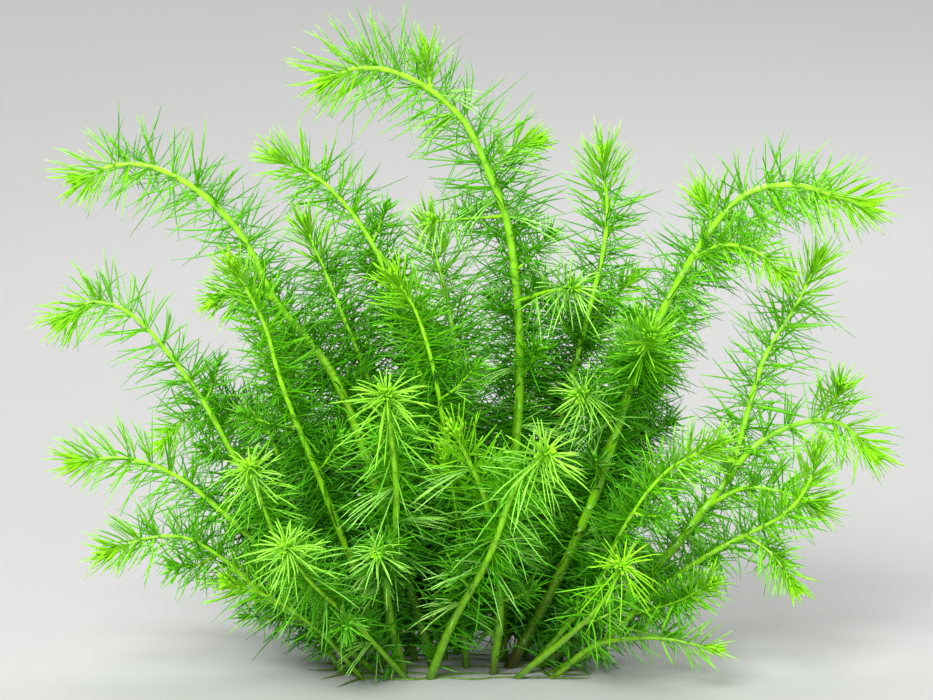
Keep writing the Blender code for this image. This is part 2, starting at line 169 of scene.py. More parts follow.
RIGHT_UPRIGHT = Fork("low_right", [(84, 60), (87, 70), (94, 94), (104, 111), (110, 123)], 8, 2.0, 12)

# The shoots that open flat at the tip like a star, with their nodes far apart below it.
STARS = {
    "star", "front_left", "front_low_left", "front_low_right", "front_right", "arch_fan", "fan",
    "left_fan", "star_low", "back_side",
}

TIP_SHARE = 0.36  # a stem's width at its tip, as a share of its girth
TAPER = 1.6  # over 1, a stem keeps its girth low down and tapers towards its tip
STEM_SIDES = 10
SPRIG_SIDES = 6
THIN = 1.3  # the girth up to which a stem counts as thin
LEAN_GROWTH = 1.25  # over 1, a shoot leans forward or back the most near its tip
FEWEST_POINTS = 8  # on the middle line of the shortest stem
NODE_SWELLING = 1.15  # of the width, at a node
NECK = 0.93  # of the width, just above a node
NODE_HALF = 0.55  # half of a swollen ring's length, in millimetres
NODE_RISE = 2.2  # in such halves, from where the swelling starts to the node
YOUNG_NODE = 0.4  # of such a half, at a tip
NODE_RIPENS = 10  # back from the tip, over which the nodes grow out
FIRST_STEP = 1.6  # from a tip to its first node, in millimetres
STEP_GROWTH = 1.32  # from each gap between nodes to the next one below
WIDEST_GAP = 4.8  # between two nodes, and more on a thick stem
STAR_WIDEST_GAP = 8.4
GAP_PER_GIRTH = 0.8
LOWEST_NODE = 3  # from a stem's foot
PLAIN_GAP = 3  # between the rings that a stem is drawn through where it has no node
LEAST_GAP = 0.25  # between any two rings
LOWEST_RING = 1  # from a stem's foot
TIP_BUD = 1.6  # how far the closed tip stands over the last node
BELOW_GROUND = 3.0  # cut away again by the flat cut


def from_seen(across, up, y):
    """The point at depth y that is seen from the front at (across, up)."""
    side = (across - VIEW_MIDDLE[0]) / VIEW_DISTANCE
    rise = (up - VIEW_MIDDLE[1]) / VIEW_DISTANCE
    tilt_cos, tilt_sin = math.cos(VIEW_TILT), math.sin(VIEW_TILT)
    away = (y + VIEW_DISTANCE * tilt_cos) / (tilt_cos + rise * tilt_sin)
    x = VIEW_MIDDLE[0] + side * away
    z = VIEW_MIDDLE[1] + VIEW_DISTANCE * tilt_sin + away * (rise * tilt_cos - tilt_sin)
    return np.array([x, y, z])


def to_seen(point):
    """Where a point is seen from the front, as (across, up)."""
    x, y, z = point
    tilt_cos, tilt_sin = math.cos(VIEW_TILT), math.sin(VIEW_TILT)
    ahead, above = y + VIEW_DISTANCE * tilt_cos, z - VIEW_MIDDLE[1] - VIEW_DISTANCE * tilt_sin
    away = ahead * tilt_cos - above * tilt_sin
    side = (x - VIEW_MIDDLE[0]) * VIEW_DISTANCE / away
    rise = (ahead * tilt_sin + above * tilt_cos) * VIEW_DISTANCE / away
    return np.array([VIEW_MIDDLE[0] + side, VIEW_MIDDLE[1] + rise])


def smooth_curve(points, steps=14):
    """A Catmull-Rom curve through the points, with this many steps from one to the next."""
    points = np.array(points, float)
    ends = 2 * points[0] - points[1], 2 * points[-1] - points[-2]
    points = np.vstack([ends[0], points, ends[1]])
    curve = []
    for a, b, c, d in zip(points, points[1:], points[2:], points[3:]):
        for t in np.arange(steps) / steps:
            bend = (2 * a - 5 * b + 4 * c - d) * t**2 + (3 * b - a - 3 * c + d) * t**3
            curve.append(b + 0.5 * ((c - a) * t + bend))
    return np.array(curve + [points[-2]])


def lengths_along(curve):
    """How far along a curve each of its points is."""
    steps = np.linalg.norm(np.diff(curve, axis=0), axis=1)
    return np.concatenate([[0], np.cumsum(steps)])


def route_of(start, seen, tip_y):
    """A shoot's centreline from its start, a point in space, past the seen places to its tip."""
    plan = smooth_curve([to_seen(start)] + [np.array(place, float) for place in seen])
    share = lengths_along(plan) / lengths_along(plan)[-1]
    depth = start[1] + (tip_y - start[1]) * share**LEAN_GROWTH
    return np.array([from_seen(across, up, y) for (across, up), y in zip(plan, depth)])


def nearest_place(route, seen):
    """Which point of a route is seen nearest to a place."""
    places = np.array([to_seen(point) for point in route])
    return np.argmin(np.linalg.norm(places - seen, axis=1))


class Line:
    """One stem's middle line, as closely spaced points with two unit vectors square to it at each."""

    def __init__(self, name, route, girth, reach, rooted=False, age=0.0):
        self.name, self.girth, self.reach = name, girth, reach
        self.rooted = rooted  # whether it starts at the flat cut at the ground
        self.age = age  # at its tip, as millimetres of growth
        along = lengths_along(route)
        self.length = along[-1]
        self.along = np.linspace(0, self.length, max(FEWEST_POINTS, int(self.length)))
        self.points = np.stack([np.interp(self.along, along, route[:, k]) for k in range(3)], 1)
        ahead = np.gradient(self.points, axis=0)
        self.ahead = ahead / np.linalg.norm(ahead, axis=1)[:, None]
        side = Vector((0, 1, 0)).cross(Vector(self.ahead[0]))
        side = (side if side.length > 0.1 else Vector((1, 0, 0))).normalized()
        before, sides = Vector(self.ahead[0]), []
        for now in map(Vector, self.ahead):
            side = before.rotation_difference(now) @ side
            side = (side - now * side.dot(now)).normalized()
            sides.append(np.array(side))
            before = now
        self.sides = np.array(sides)
        self.ups = np.cross(self.ahead, self.sides)

    def at(self, place):
        """The middle and the directions ahead, to the side and up, this far along the line."""
        k = min(int(np.searchsorted(self.along, place)), len(self.along) - 1)
        past = place - self.along[k]
        return self.points[k] + self.ahead[k] * past, self.ahead[k], self.sides[k], self.ups[k]

    def width(self, place):
        """How wide the stem is, this far along the line."""
        return self.girth * (1 + (TIP_SHARE - 1) * min(1.0, max(0.0, place / self.length)) ** TAPER)

    def nodes(self):
        """How far back from the tip each node is: crowded at the tip, evenly spaced further down."""
        widest = (STAR_WIDEST_GAP if self.name in STARS else WIDEST_GAP) + GAP_PER_GIRTH * self.girth
        back, step = [0.0], FIRST_STEP
        while back[-1] + step < self.length - LOWEST_NODE:
            back.append(back[-1] + step)
            step = min(step * STEP_GROWTH, widest)
        return np.array(back)


SPRIG_SEED = 7
SPRIG_STEP = 17  # along a stem, from one sprig to the next
SPRIG_UNEVEN = 0.25  # of that step, either way
SPRIG_YOUNGEST = 34  # back from the tip, where the first sprig grows
SPRIG_LATER = 8  # by how much it may be further back
SPRIG_OLDEST = 22  # up from the foot, where the last one grows
SPRIG_LEAN = math.radians(52)  # between a sprig and the stem ahead
SPRIG_TURN = 2.4  # around the stem, from one sprig to the next
SPRIG_LENGTHS = (9, 17)
SPRIG_GIRTHS = (0.8, 1.1)
SPRIG_REACHES = (7.5, 10.5)
SPRIG_SAG = 0.06  # of its length, at its middle
SPRIG_FLOOR = 12  # the lowest that a sprig's tip may be over the ground
SPRIG_LIMIT = 0.78  # of the way from the clump's foot to its outside, past which no sprigs grow
CLUMP_REACH = (125, 82, 185)  # of the clump from its foot: to either side, forward or back, and up
CLUMP_SHIFT = 6  # of its middle, towards the back


def outwardness(point):
    """How far out in the clump a point is, from 0 at its foot to about 1 at its outside."""
    x, y, z = point
    aside, deep, tall = CLUMP_REACH
    return math.sqrt((x / aside) ** 2 + ((y - CLUMP_SHIFT) / deep) ** 2 + (z / tall) ** 2)


def sprigs_of(line, chance):
    """The short leafy sprigs that leave a long stem all round, like steps of a spiral stair."""
    sprigs = []
    back, turn = SPRIG_YOUNGEST + chance.uniform(0, SPRIG_LATER), chance.uniform(0, math.tau)
    while back < line.length - SPRIG_OLDEST:
        middle, ahead, side, up = line.at(line.length - back)
        out = side * math.cos(turn) + up * math.sin(turn)
        leaving = ahead * math.cos(SPRIG_LEAN) + out * math.sin(SPRIG_LEAN)
        length = chance.uniform(*SPRIG_LENGTHS)
        end = middle + leaving * length
        bend = middle + leaving * length * 0.5 + np.array([0, 0, -SPRIG_SAG * length])
        if end[2] > SPRIG_FLOOR and outwardness(end) < SPRIG_LIMIT:
            route = smooth_curve([middle, bend, end], steps=6)
            girth, reach = chance.uniform(*SPRIG_GIRTHS), chance.uniform(*SPRIG_REACHES)
            sprigs.append(Line("sprig", route, girth, reach))
        back += SPRIG_STEP * chance.uniform(1 - SPRIG_UNEVEN, 1 + SPRIG_UNEVEN)
        turn += SPRIG_TURN
    return sprigs


def lines_of_plant():
    """Each shoot's lines: its own stem's and then those of its side shoots and sprigs."""
    found = {}
    for name, shoot in SHOOTS.items():
        route = route_of(np.array([*shoot.foot, 0.0]), shoot.seen, shoot.tip_y)
        found[name] = [Line(name, route, shoot.girth, shoot.reach, rooted=True)]
    for name, fork in {**FORKS, "right_upright": RIGHT_UPRIGHT}.items():
        parent = found[fork.parent][0]
        start = parent.points[nearest_place(parent.points, fork.seen[0])]
        route = route_of(start, fork.seen[1:], fork.tip_y)
        line = Line(name, route, fork.girth, fork.reach)
        if name == "right_upright":
            found[name] = [line]
        else:
            found[fork.parent].append(line)
    chance = np.random.default_rng(SPRIG_SEED)
    for lines in found.values():
        lines += sprigs_of(lines[0], chance)
    return found


def stem_rings(line):
    """The rings that a stem is drawn through, from its foot: how far along, how wide, and how much of a
    node's ring it shows."""
    rings = []
    for back in line.nodes()[::-1]:
        place = line.length - back
        width = line.width(place)
        half = NODE_HALF * min(1.0, YOUNG_NODE + back / NODE_RIPENS)
        rings += [
            (place - NODE_RISE * half, width, 0.0),
            (place - half, width * (1 + NODE_SWELLING) / 2, 0.3),
            (place, width * NODE_SWELLING, 1.0),
            (place + half, width * NECK, 0.5),
        ]
    rings = [ring for ring in rings if ring[0] > LOWEST_RING]
    kept = [rings[0]]
    for ring in rings[1:]:
        while ring[0] - kept[-1][0] > PLAIN_GAP + 1:
            place = kept[-1][0] + PLAIN_GAP
            kept.append((place, line.width(place), 0.0))
        if ring[0] - kept[-1][0] > LEAST_GAP:
            kept.append(ring)
    start = (-BELOW_GROUND if line.rooted else 0.0, line.width(0), 0.0)
    last = line.width(line.length)
    tip = [(line.length + 0.5 * TIP_BUD, last * 0.7, 0.2), (line.length + TIP_BUD, last * 0.2, 0.2)]
    return [start, *kept, *tip]


def draw_stem(shape, line, strip):
    """A closed round stem along a line. Its faces' places on the UV map fill one strip, (low, high)."""
    turn_of = shape.verts.layers.float["turn"]
    age_of = shape.verts.layers.float["age"]
    node_of = shape.verts.layers.float["node"]
    along_of = shape.verts.layers.float["along"]
    rings = stem_rings(line)
    sides = STEM_SIDES if line.girth > THIN else SPRIG_SIDES
    ring = bmesh.ops.create_circle(shape, cap_ends=True, segments=sides, radius=1)["verts"]
    for number, vert in enumerate(ring):
        vert[turn_of] = number / sides
    edges = list(dict.fromkeys(edge for vert in ring for edge in vert.link_edges))
    for index, (place, width, node) in enumerate(rings):
        if index:
            made = bmesh.ops.extrude_edge_only(shape, edges=edges)["geom"]
            ring = [item for item in made if isinstance(item, bmesh.types.BMVert)]
            edges = [
                item for item in made if isinstance(item, bmesh.types.BMEdge) and len(item.link_faces) == 1
            ]
        middle, ahead, side, up = line.at(place)
        if place < 0:
            middle = line.points[0] + line.ahead[0] * place
        share = (place - rings[0][0]) / (rings[-1][0] - rings[0][0])
        for vert in ring:
            turn = math.tau * vert[turn_of]
            vert.co = Vector(middle + (side * math.cos(turn) + up * math.sin(turn)) * width / 2) * MM
            vert[age_of] = line.age + max(0.0, line.length - place)
            vert[node_of] = node
            vert[along_of] = strip[0] + (strip[1] - strip[0]) * share
    bmesh.ops.holes_fill(shape, edges=edges, sides=sides)


CAP_SPREAD = 0.004  # of an end face on the UV map
STRIP_GAP = 0.02  # of a stem's strip there, left free at each of its two ends
CUT_HEIGHT = 0.0001  # of the flat cut over the ground, in metres


def stem_mesh(name, lines, cut_flat):
    """The stems along these lines as one mesh, cut off flat at the ground where that is asked for."""
    shape = bmesh.new()
    for layer in ("turn", "age", "node", "along"):
        shape.verts.layers.float.new(layer)
    for number, line in enumerate(lines):
        strip = ((number + STRIP_GAP) / len(lines), (number + (1 - STRIP_GAP)) / len(lines))
        draw_stem(shape, line, strip)
    if cut_flat:
        cut = bmesh.ops.bisect_plane(
            shape, geom=shape.verts[:] + shape.edges[:] + shape.faces[:],
            plane_co=(0, 0, CUT_HEIGHT), plane_no=(0, 0, 1), clear_inner=True,
        )
        rim = [item for item in cut["geom_cut"] if isinstance(item, bmesh.types.BMEdge)]
        bmesh.ops.holes_fill(shape, edges=rim, sides=0)
    bmesh.ops.recalc_face_normals(shape, faces=shape.faces)
    spread = shape.loops.layers.uv.new("OFBake")
    turn_of = shape.verts.layers.float["turn"]
    along_of = shape.verts.layers.float["along"]
    for face in shape.faces:
        turns = [loop.vert[turn_of] for loop in face.loops]
        is_cap = len(turns) > 4
        wraps = max(turns) - min(turns) > 0.5 and not is_cap
        for loop, turn in zip(face.loops, turns):
            around = 1.0 if wraps and turn < 0.01 else turn
            rise = CAP_SPREAD * math.sin(math.tau * turn) if is_cap else 0.0
            loop[spread].uv = (around, loop.vert[along_of] + rise)
    mesh = bpy.data.meshes.new(name)
    shape.to_mesh(mesh)
    shape.free()
    mesh.shade_smooth()
    return mesh


def principled(name, roughness, specular):
    """A new material, its node tree and its shader."""
    made = bpy.data.materials.new(name)
    made.use_nodes = True
    tree = made.node_tree
    shader = tree.nodes["Principled BSDF"]
    shader.inputs["Roughness"].default_value = roughness
    shader.inputs["Specular IOR Level"].default_value = specular
    return made, tree, shader


def add_node(tree, kind, values=(), **settings):
    """Adds a shader node, with some of its sockets' values given by (socket, value)."""
    node = tree.nodes.new("ShaderNode" + kind)
    for setting, value in settings.items():
        setattr(node, setting, value)
    for socket, value in values:
        node.inputs[socket].default_value = value
    return node


def ramp_node(tree, stops):
    """A colour ramp through these stops, (place, (red, green, blue)), with straight light values."""
    ramp = add_node(tree, "ValToRGB").color_ramp
    while len(ramp.elements) < len(stops):
        ramp.elements.new(0.5)
    for element, (place, colour) in zip(ramp.elements, stops):
        element.position = place
        element.color = (*colour, 1)
    return tree.nodes[-1]


OLDEST = 250  # millimetres of growth
DIM_FOOT = 0.05  # height over the ground, in metres, up to which the stems are darker
FOOT_SHADE = 0.5  # of a stem's brightness, left at the ground
MOTTLE_SCALE = 420
MOTTLE_SHADES = (0.74, 1.15)  # the darkest and the lightest speck, beside the plain colour
RING_SHOWS = 0.6  # how strongly a node's ring is coloured
SCAR = (0.0165, -0.005, 0.004)  # a brown patch low on the stems, right of the middle, in metres
SCAR_RADII = (0.004, 0.008)  # up to where it is fully brown, and where it has faded out
SCAR_COLOUR = (0.06, 0.02, 0.003, 1)


def stem_material(name, ages, ring_colour):
    """Mottled stem skin whose colour follows its age, through (share of the oldest, colour)."""
    skin, tree, shader = principled(name, roughness=0.24, specular=0.5)
    link = tree.links.new
    age = add_node(tree, "Attribute", attribute_name="age")
    share = add_node(tree, "Math", [(1, 1 / OLDEST)], operation="MULTIPLY")
    colours = ramp_node(tree, ages)
    link(age.outputs["Fac"], share.inputs[0])
    link(share.outputs[0], colours.inputs[0])
    spot = add_node(tree, "TexCoord")
    mottle = add_node(tree, "TexNoise", [("Scale", MOTTLE_SCALE), ("Detail", 3), ("Roughness", 0.6)])
    link(spot.outputs["Object"], mottle.inputs["Vector"])
    dark, light = MOTTLE_SHADES
    shade = add_node(
        tree, "MapRange", [("From Min", 0.3), ("From Max", 0.7), ("To Min", dark), ("To Max", light)]
    )
    link(mottle.outputs["Fac"], shade.inputs["Value"])
    parts = add_node(tree, "SeparateXYZ")
    link(spot.outputs["Object"], parts.inputs[0])
    dim_foot = add_node(tree, "MapRange", [("From Max", DIM_FOOT), ("To Min", FOOT_SHADE), ("To Max", 1)])
    link(parts.outputs["Z"], dim_foot.inputs["Value"])
    both = add_node(tree, "Math", operation="MULTIPLY")
    link(shade.outputs[0], both.inputs[0])
    link(dim_foot.outputs[0], both.inputs[1])
    mottled = add_node(tree, "Mix", [("Factor", 1)], data_type="RGBA", blend_type="MULTIPLY")
    link(colours.outputs[0], mottled.inputs[6])
    link(both.outputs[0], mottled.inputs[7])
    ring = add_node(tree, "Attribute", attribute_name="node")
    ring_share = add_node(tree, "Math", [(1, RING_SHOWS)], operation="MULTIPLY")
    ringed = add_node(tree, "Mix", [(7, ring_colour)], data_type="RGBA")
    link(ring.outputs["Fac"], ring_share.inputs[0])
    link(ring_share.outputs[0], ringed.inputs["Factor"])
    link(mottled.outputs[2], ringed.inputs[6])
    apart = add_node(tree, "VectorMath", [(1, SCAR)], operation="DISTANCE")
    link(spot.outputs["Object"], apart.inputs[0])
    full, faded = SCAR_RADII
    scar = add_node(
        tree, "MapRange", [("From Min", full), ("From Max", faded), ("To Min", 0.85), ("To Max", 0)]
    )
    link(apart.outputs["Value"], scar.inputs["Value"])
    scarred = add_node(tree, "Mix", [(7, SCAR_COLOUR)], data_type="RGBA")
    link(scar.outputs[0], scarred.inputs["Factor"])
    link(ringed.outputs[2], scarred.inputs[6])
    link(scarred.outputs[2], shader.inputs["Base Color"])
    return skin


STEM_AGES = [
    (0.0, (0.42, 0.95, 0.02)),
    (0.12, (0.36, 0.86, 0.015)),
    (0.33, (0.26, 0.70, 0.006)),
    (0.6, (0.18, 0.50, 0.004)),
    (1.0, (0.14, 0.36, 0.003)),
]
RING_COLOUR = (0.10, 0.30, 0.004, 1)
stem_skin = stem_material("stem skin", STEM_AGES, RING_COLOUR)

plant_lines = lines_of_plant()
for name, lines in plant_lines.items():
    mesh = stem_mesh("fine_stem_" + name, lines, lines[0].rooted)
    mesh.materials.append(stem_skin)
    piece = bpy.data.objects.new("fine_stem_" + name, mesh)
    bpy.context.scene.collection.objects.link(piece)
    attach(piece, "root")
    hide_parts("stem_" + name)


# The needle leaves. Soft three-sided needles, up to two centimetres long and about half a millimetre
# wide, grow in whorls at the stems' nodes. Towards a tip they crowd into a brush and point ahead. Further
# down they stand out square, curl and droop. Young leaves are lime, and old ones deep green, darker still
# deep in the clump by painted shade.
YOUNG_WIDTH = 0.70
OLD_WIDTH = 0.52
NEEDLE_RINGS = [(0.34, 1.0), (0.76, 0.88), (1.0, 0.3)]  # (share of the length, share of the width)
NEEDLE_FOOT = 0.7  # of its width, at its foot
NEEDLE_FLATNESS = 0.62
WIDTH_VARIES = 0.12  # either way
FOOT_LIGHTER = 0.1  # in tone, from a needle's tip to its foot; partly own colour, partly painted light
OWN_TONE_AT = 0.4  # of the length, where a needle has its own tone
TIP_PALER = 0.05
MAP_EDGE = 0.01  # of the UV map, left free all round
FACE_SPREAD = (0.008, 0.016)  # of a needle's faces on the UV map, in tone and in paleness
BARE_FOOT = 4  # of a main stem, before its lowest leaves
BARE_FORK = 2  # of a side shoot, the same
SPARSE_FOOT = 50  # of a front stem, where its leaves are few and short; half of this at the back
FRONT_FEET = 4  # the y up to which a stem's foot counts as in front
LEAF_FLOOR = 0.45  # the lowest that a leaf may hang over the ground
SEED = 41

Template = namedtuple("Template", "points corners starts")


def needle_template():
    """A needle one unit long up z and one wide, blunt at its foot and drawn to a point."""
    shape = bmesh.new()
    made = bmesh.ops.create_circle(shape, cap_ends=True, segments=3, radius=NEEDLE_FOOT / 2)
    top = made["verts"][0].link_faces[0]
    wide = NEEDLE_FOOT
    for height, width in NEEDLE_RINGS:
        geom = bmesh.ops.extrude_face_region(shape, geom=[top])["geom"]
        ring = [item for item in geom if isinstance(item, bmesh.types.BMVert)]
        top = [item for item in geom if isinstance(item, bmesh.types.BMFace)][0]
        bmesh.ops.scale(shape, verts=ring, vec=(width / wide, width / wide, 1))
        wide = width
        for vert in ring:
            vert.co.z = height
    bmesh.ops.recalc_face_normals(shape, faces=shape.faces)
    mesh = bpy.data.meshes.new("needle")
    shape.to_mesh(mesh)
    shape.free()
    points = np.zeros(len(mesh.vertices) * 3)
    mesh.vertices.foreach_get("co", points)
    corners = np.zeros(len(mesh.loops), int)
    mesh.loops.foreach_get("vertex_index", corners)
    starts = np.zeros(len(mesh.polygons), int)
    mesh.polygons.foreach_get("loop_start", starts)
    bpy.data.meshes.remove(mesh)
    return Template(points.reshape(-1, 3), corners, starts)


NEEDLE = needle_template()


def unit(vectors):
    """The vectors, each made one unit long."""
    return vectors / np.linalg.norm(vectors, axis=-1, keepdims=True)


class Needles:
    """Needles to be joined in one mesh: each one's foot, direction, bend, length, width and colour."""

    def __init__(self, seed):
        self.chance = np.random.default_rng(seed)
        self.rows = []

    def add(self, foot, direction, bend, length, width, tone, pale):
        """Adds a needle for each direction. What is given once goes for all of them."""
        count = len(direction)
        row = [np.broadcast_to(foot, (count, 3)), direction, np.broadcast_to(bend, (count, 3))]
        row += [np.broadcast_to(value, count)[:, None] for value in (length, width, tone, pale)]
        self.rows.append(np.hstack(row))

    def mesh(self, name):
        """All the needles as one mesh, with their tone and paleness as places on its UV map."""
        table = np.vstack(self.rows)
        foot, direction, bend = table[:, 0:3], unit(table[:, 3:6]), table[:, 6:9]
        length, wide, tone, pale = table[:, 9:].T
        count, size = len(table), len(NEEDLE.points)
        flat = unit(np.cross(direction, self.chance.normal(size=(count, 3))))
        deep = np.cross(direction, flat)
        width = wide * self.chance.uniform(1 - WIDTH_VARIES, 1 + WIDTH_VARIES, count)
        across, through, share = NEEDLE.points.T
        middle = foot[:, None] + length[:, None, None] * (
            share[:, None] * direction[:, None] + (share**2)[:, None] * bend[:, None]
        )
        middle[..., 2] = np.maximum(middle[..., 2], LEAF_FLOOR)
        spots = middle + width[:, None, None] * (
            across[:, None] * flat[:, None] + NEEDLE_FLATNESS * through[:, None] * deep[:, None]
        )
        mesh = bpy.data.meshes.new(name)
        mesh.vertices.add(count * size)
        mesh.vertices.foreach_set("co", (spots * MM).ravel())
        mesh.loops.add(count * len(NEEDLE.corners))
        turn = np.arange(count)[:, None]
        mesh.loops.foreach_set("vertex_index", (NEEDLE.corners + size * turn).ravel())
        mesh.polygons.add(count * len(NEEDLE.starts))
        mesh.polygons.foreach_set("loop_start", (NEEDLE.starts + len(NEEDLE.corners) * turn).ravel())
        mesh.update(calc_edges=True)
        # A needle is lighter towards its foot: partly its own colour, partly painted light against the
        # self-shade of crowded needles.
        tone_at = tone[:, None] + FOOT_LIGHTER * (OWN_TONE_AT - share) + FACE_SPREAD[0] * through
        pale_at = pale[:, None] + TIP_PALER * (share - 0.5) + FACE_SPREAD[1] * across
        spread = np.clip(np.stack([tone_at, pale_at], 2), MAP_EDGE, 1 - MAP_EDGE)
        mesh.uv_layers.new(name="OFBake").data.foreach_set("uv", spread[:, NEEDLE.corners].ravel())
        mesh.shade_smooth()
        return mesh


# How deep in the clump each leaf is. Old leaves there are given painted shade, and their number and size
# follow it too.
LOW_HEIGHT = 60  # over the ground, under which even the outer leaves get painted shade
LOW_GLOOM = 0.55  # of the middle's depth, and so of its painted shade, down at the ground
FEET_RADIUS = 32  # of the ring of feet, past which low leaves hang free
SPREAD_BY_HEIGHT = 0.7  # how much wider than that the middle with painted shade is, for each millimetre of height
FREE_OVER = 40  # outside it, over which the leaves' painted shade fades out
MIDDLE_DARK = 1.25  # the depth at the clump's foot, where 1 is the full painted shade
OUTWARD_LIGHT = 1.45  # taken off it towards the clump's outside


def depth_inside(point):
    """How deep in the clump a point is, from 0 at its outside to 1 in the middle, where leaves get the most
    painted shade.
    """
    x, y, z = point
    overhang = max(0.0, math.hypot(x, y) - FEET_RADIUS - SPREAD_BY_HEIGHT * z) / FREE_OVER
    buried = max(0.0, MIDDLE_DARK - OUTWARD_LIGHT * outwardness(point) - overhang)
    return min(1.0, max(buried, LOW_GLOOM * (1 - z / LOW_HEIGHT)))


# The shoots whose leaves are pale, partly in their own whitish colour and partly as painted highlight,
# and how much, and those that have lost about half of their leaves.
PALE_SHOOTS = {
    "fan": 0.5, "left_fan": 0.45, "arch_fan": 0.35, "star": 0.16, "front_right": 0.2, "star_low": 0.42,
    "front_low_left": 0.25, "front_left": 0.14,
}
SPARSE_SHOOTS = {"bottom_right", "low_wisp", "front_low_right", "front_middle"}

# The shoots at the clump's low sides, where each leaf is seen by itself.
OPEN_SHOOTS = {"left", "low_left", "bottom_left", "curled_left", "far_right", "ringed_right", "low_right"}

# How a measure of the leaves grows, going back from a shoot's tip: it is tip there, and gain is added
# within over, in millimetres. Where it doesn't grow evenly, most of gain is added by then.
Growth = namedtuple("Growth", "tip gain over")
OLD_FROM = 70  # back from the tip, where the leaves are fully old

# How many leaves a whorl has, which grows evenly down the stem.
WHORL = Growth(6, 20, 15)
STAR_WHORL = Growth(5, 11, 25)
BURIED_FEWER = 4  # how many fewer there are, deep in the clump
ROSETTE = 20  # leaves in each of the two flat whorls at the tip of a star
SMALL_ROSETTE = 11  # the same, on a thin side shoot
ROSETTE_DEPTH = 2  # back from the tip, past the second of them
SPARSE_SHARE = 0.55  # of the leaves, left on a sparse shoot
FOOT_SHARE = 0.2  # of the leaves, left at a stem's foot
FRONT_GAP = 0.75  # of the leaves that would hide a stem from the front, left out
HIDING = -0.4  # how far forward a leaf points, at least, to hide its stem
TUFT = 7  # at a tip, where no leaf is left out

# How the leaves stand in a whorl. The openings are angles to the stem ahead, in degrees.
OPENING = Growth(24, 38, 6)
STAR_OPENING = Growth(60, 38, 2)
SPRIG_OPENING = Growth(48, 30, 6)
LAST_OPENING = Growth(0, 15, 90)  # grows evenly
ANGLE_SPREAD = 10  # and twice this on old stems
WHORL_TURN = 0.7  # from one whorl to the next
TURN_SPREAD = 0.45  # either way, as a share of the step from leaf to leaf
START_OUT = 0.3  # of a stem's width, from its middle to where a leaf starts
START_SPREAD = 0.8  # along the stem
RAISING = 0.45  # how much the leaves on top of a level stem turn upwards

# How the leaves bend, as shares of their length.
BEND_SPREAD = 0.07
OLD_BEND_SPREAD = 0.17  # more, on old stems
STAR_DROOP = 0.2
OLD_DROOP = 0.12
YOUNG_CURL = 0.15  # towards the tip
CURL_TURNS = 1.3  # over 1, the oldest leaves curl a little towards the foot instead

# How long the leaves are. The first two are shares of their shoot's reach, the others of that length.
LENGTH = Growth(0.68, 0.42, 6)
STAR_LENGTH = Growth(0.8, 0.35, 1.5)
LENGTH_SPREAD = 0.15
OLD_LONGER = 0.1
LONGEST = 1.2
FOOT_LENGTH = 0.5  # of the length, left at a stem's foot
BURIED_SHORTER = 0.25
BROADENING = 0.4  # of what a young leaf is wider, left on an old one at the outside

# How light the leaves are on the ramp of leaf tones, and how pale.
YOUNG_OVER = 30  # back from the tip, where most of the lime is gone
STAR_YOUNG_OVER = 15
SPRIG_YOUTH = 0.35  # of a sprig's tip, beside a shoot's
OLD_TONE = 0.54
YOUNG_LIGHTER = 0.42
# painted shade on the old leaves deep in the clump
PAINTED_SHADE_INSIDE = 0.5
TONE_SPREAD = 0.04
PALE_SPREAD = 0.13
PALE_WHORLS = 0.1  # of all whorls
PALE_WHORL = 0.3  # how much paler these are


def grown(growth, back):
    """A measure of the leaves, this far back from the tip."""
    return growth.tip + growth.gain * (1 - math.exp(-back / growth.over))


def grown_evenly(growth, back):
    """The same, for a measure that grows evenly."""
    return growth.tip + growth.gain * min(1.0, back / growth.over)


def whorl_size(line, back, inside):
    """How many leaves a whorl has, this far back from the tip and this deep in the clump."""
    if line.name in STARS and back < ROSETTE_DEPTH:
        return ROSETTE if line.girth > THIN else SMALL_ROSETTE
    if line.name in STARS:
        return grown_evenly(STAR_WHORL, back)
    return grown_evenly(WHORL._replace(gain=WHORL.gain - BURIED_FEWER * inside), back)


def leaf_angles(line, back, count, chance):
    """The angles between the leaves of a whorl and the stem ahead, this far back from the tip."""
    low = min(1.0, back / OLD_FROM)
    if line.name in STARS:
        open_angle = grown(STAR_OPENING, back)
    elif line.name == "sprig":
        open_angle = grown(SPRIG_OPENING, back)
    else:
        open_angle = grown(OPENING, back) + grown_evenly(LAST_OPENING, back)
    return np.radians(open_angle + chance.normal(0, ANGLE_SPREAD + ANGLE_SPREAD * low, count))


def directions_round(turns, side, up):
    """The unit vectors square to a stem at these turns around it."""
    return np.cos(turns)[:, None] * side + np.sin(turns)[:, None] * up


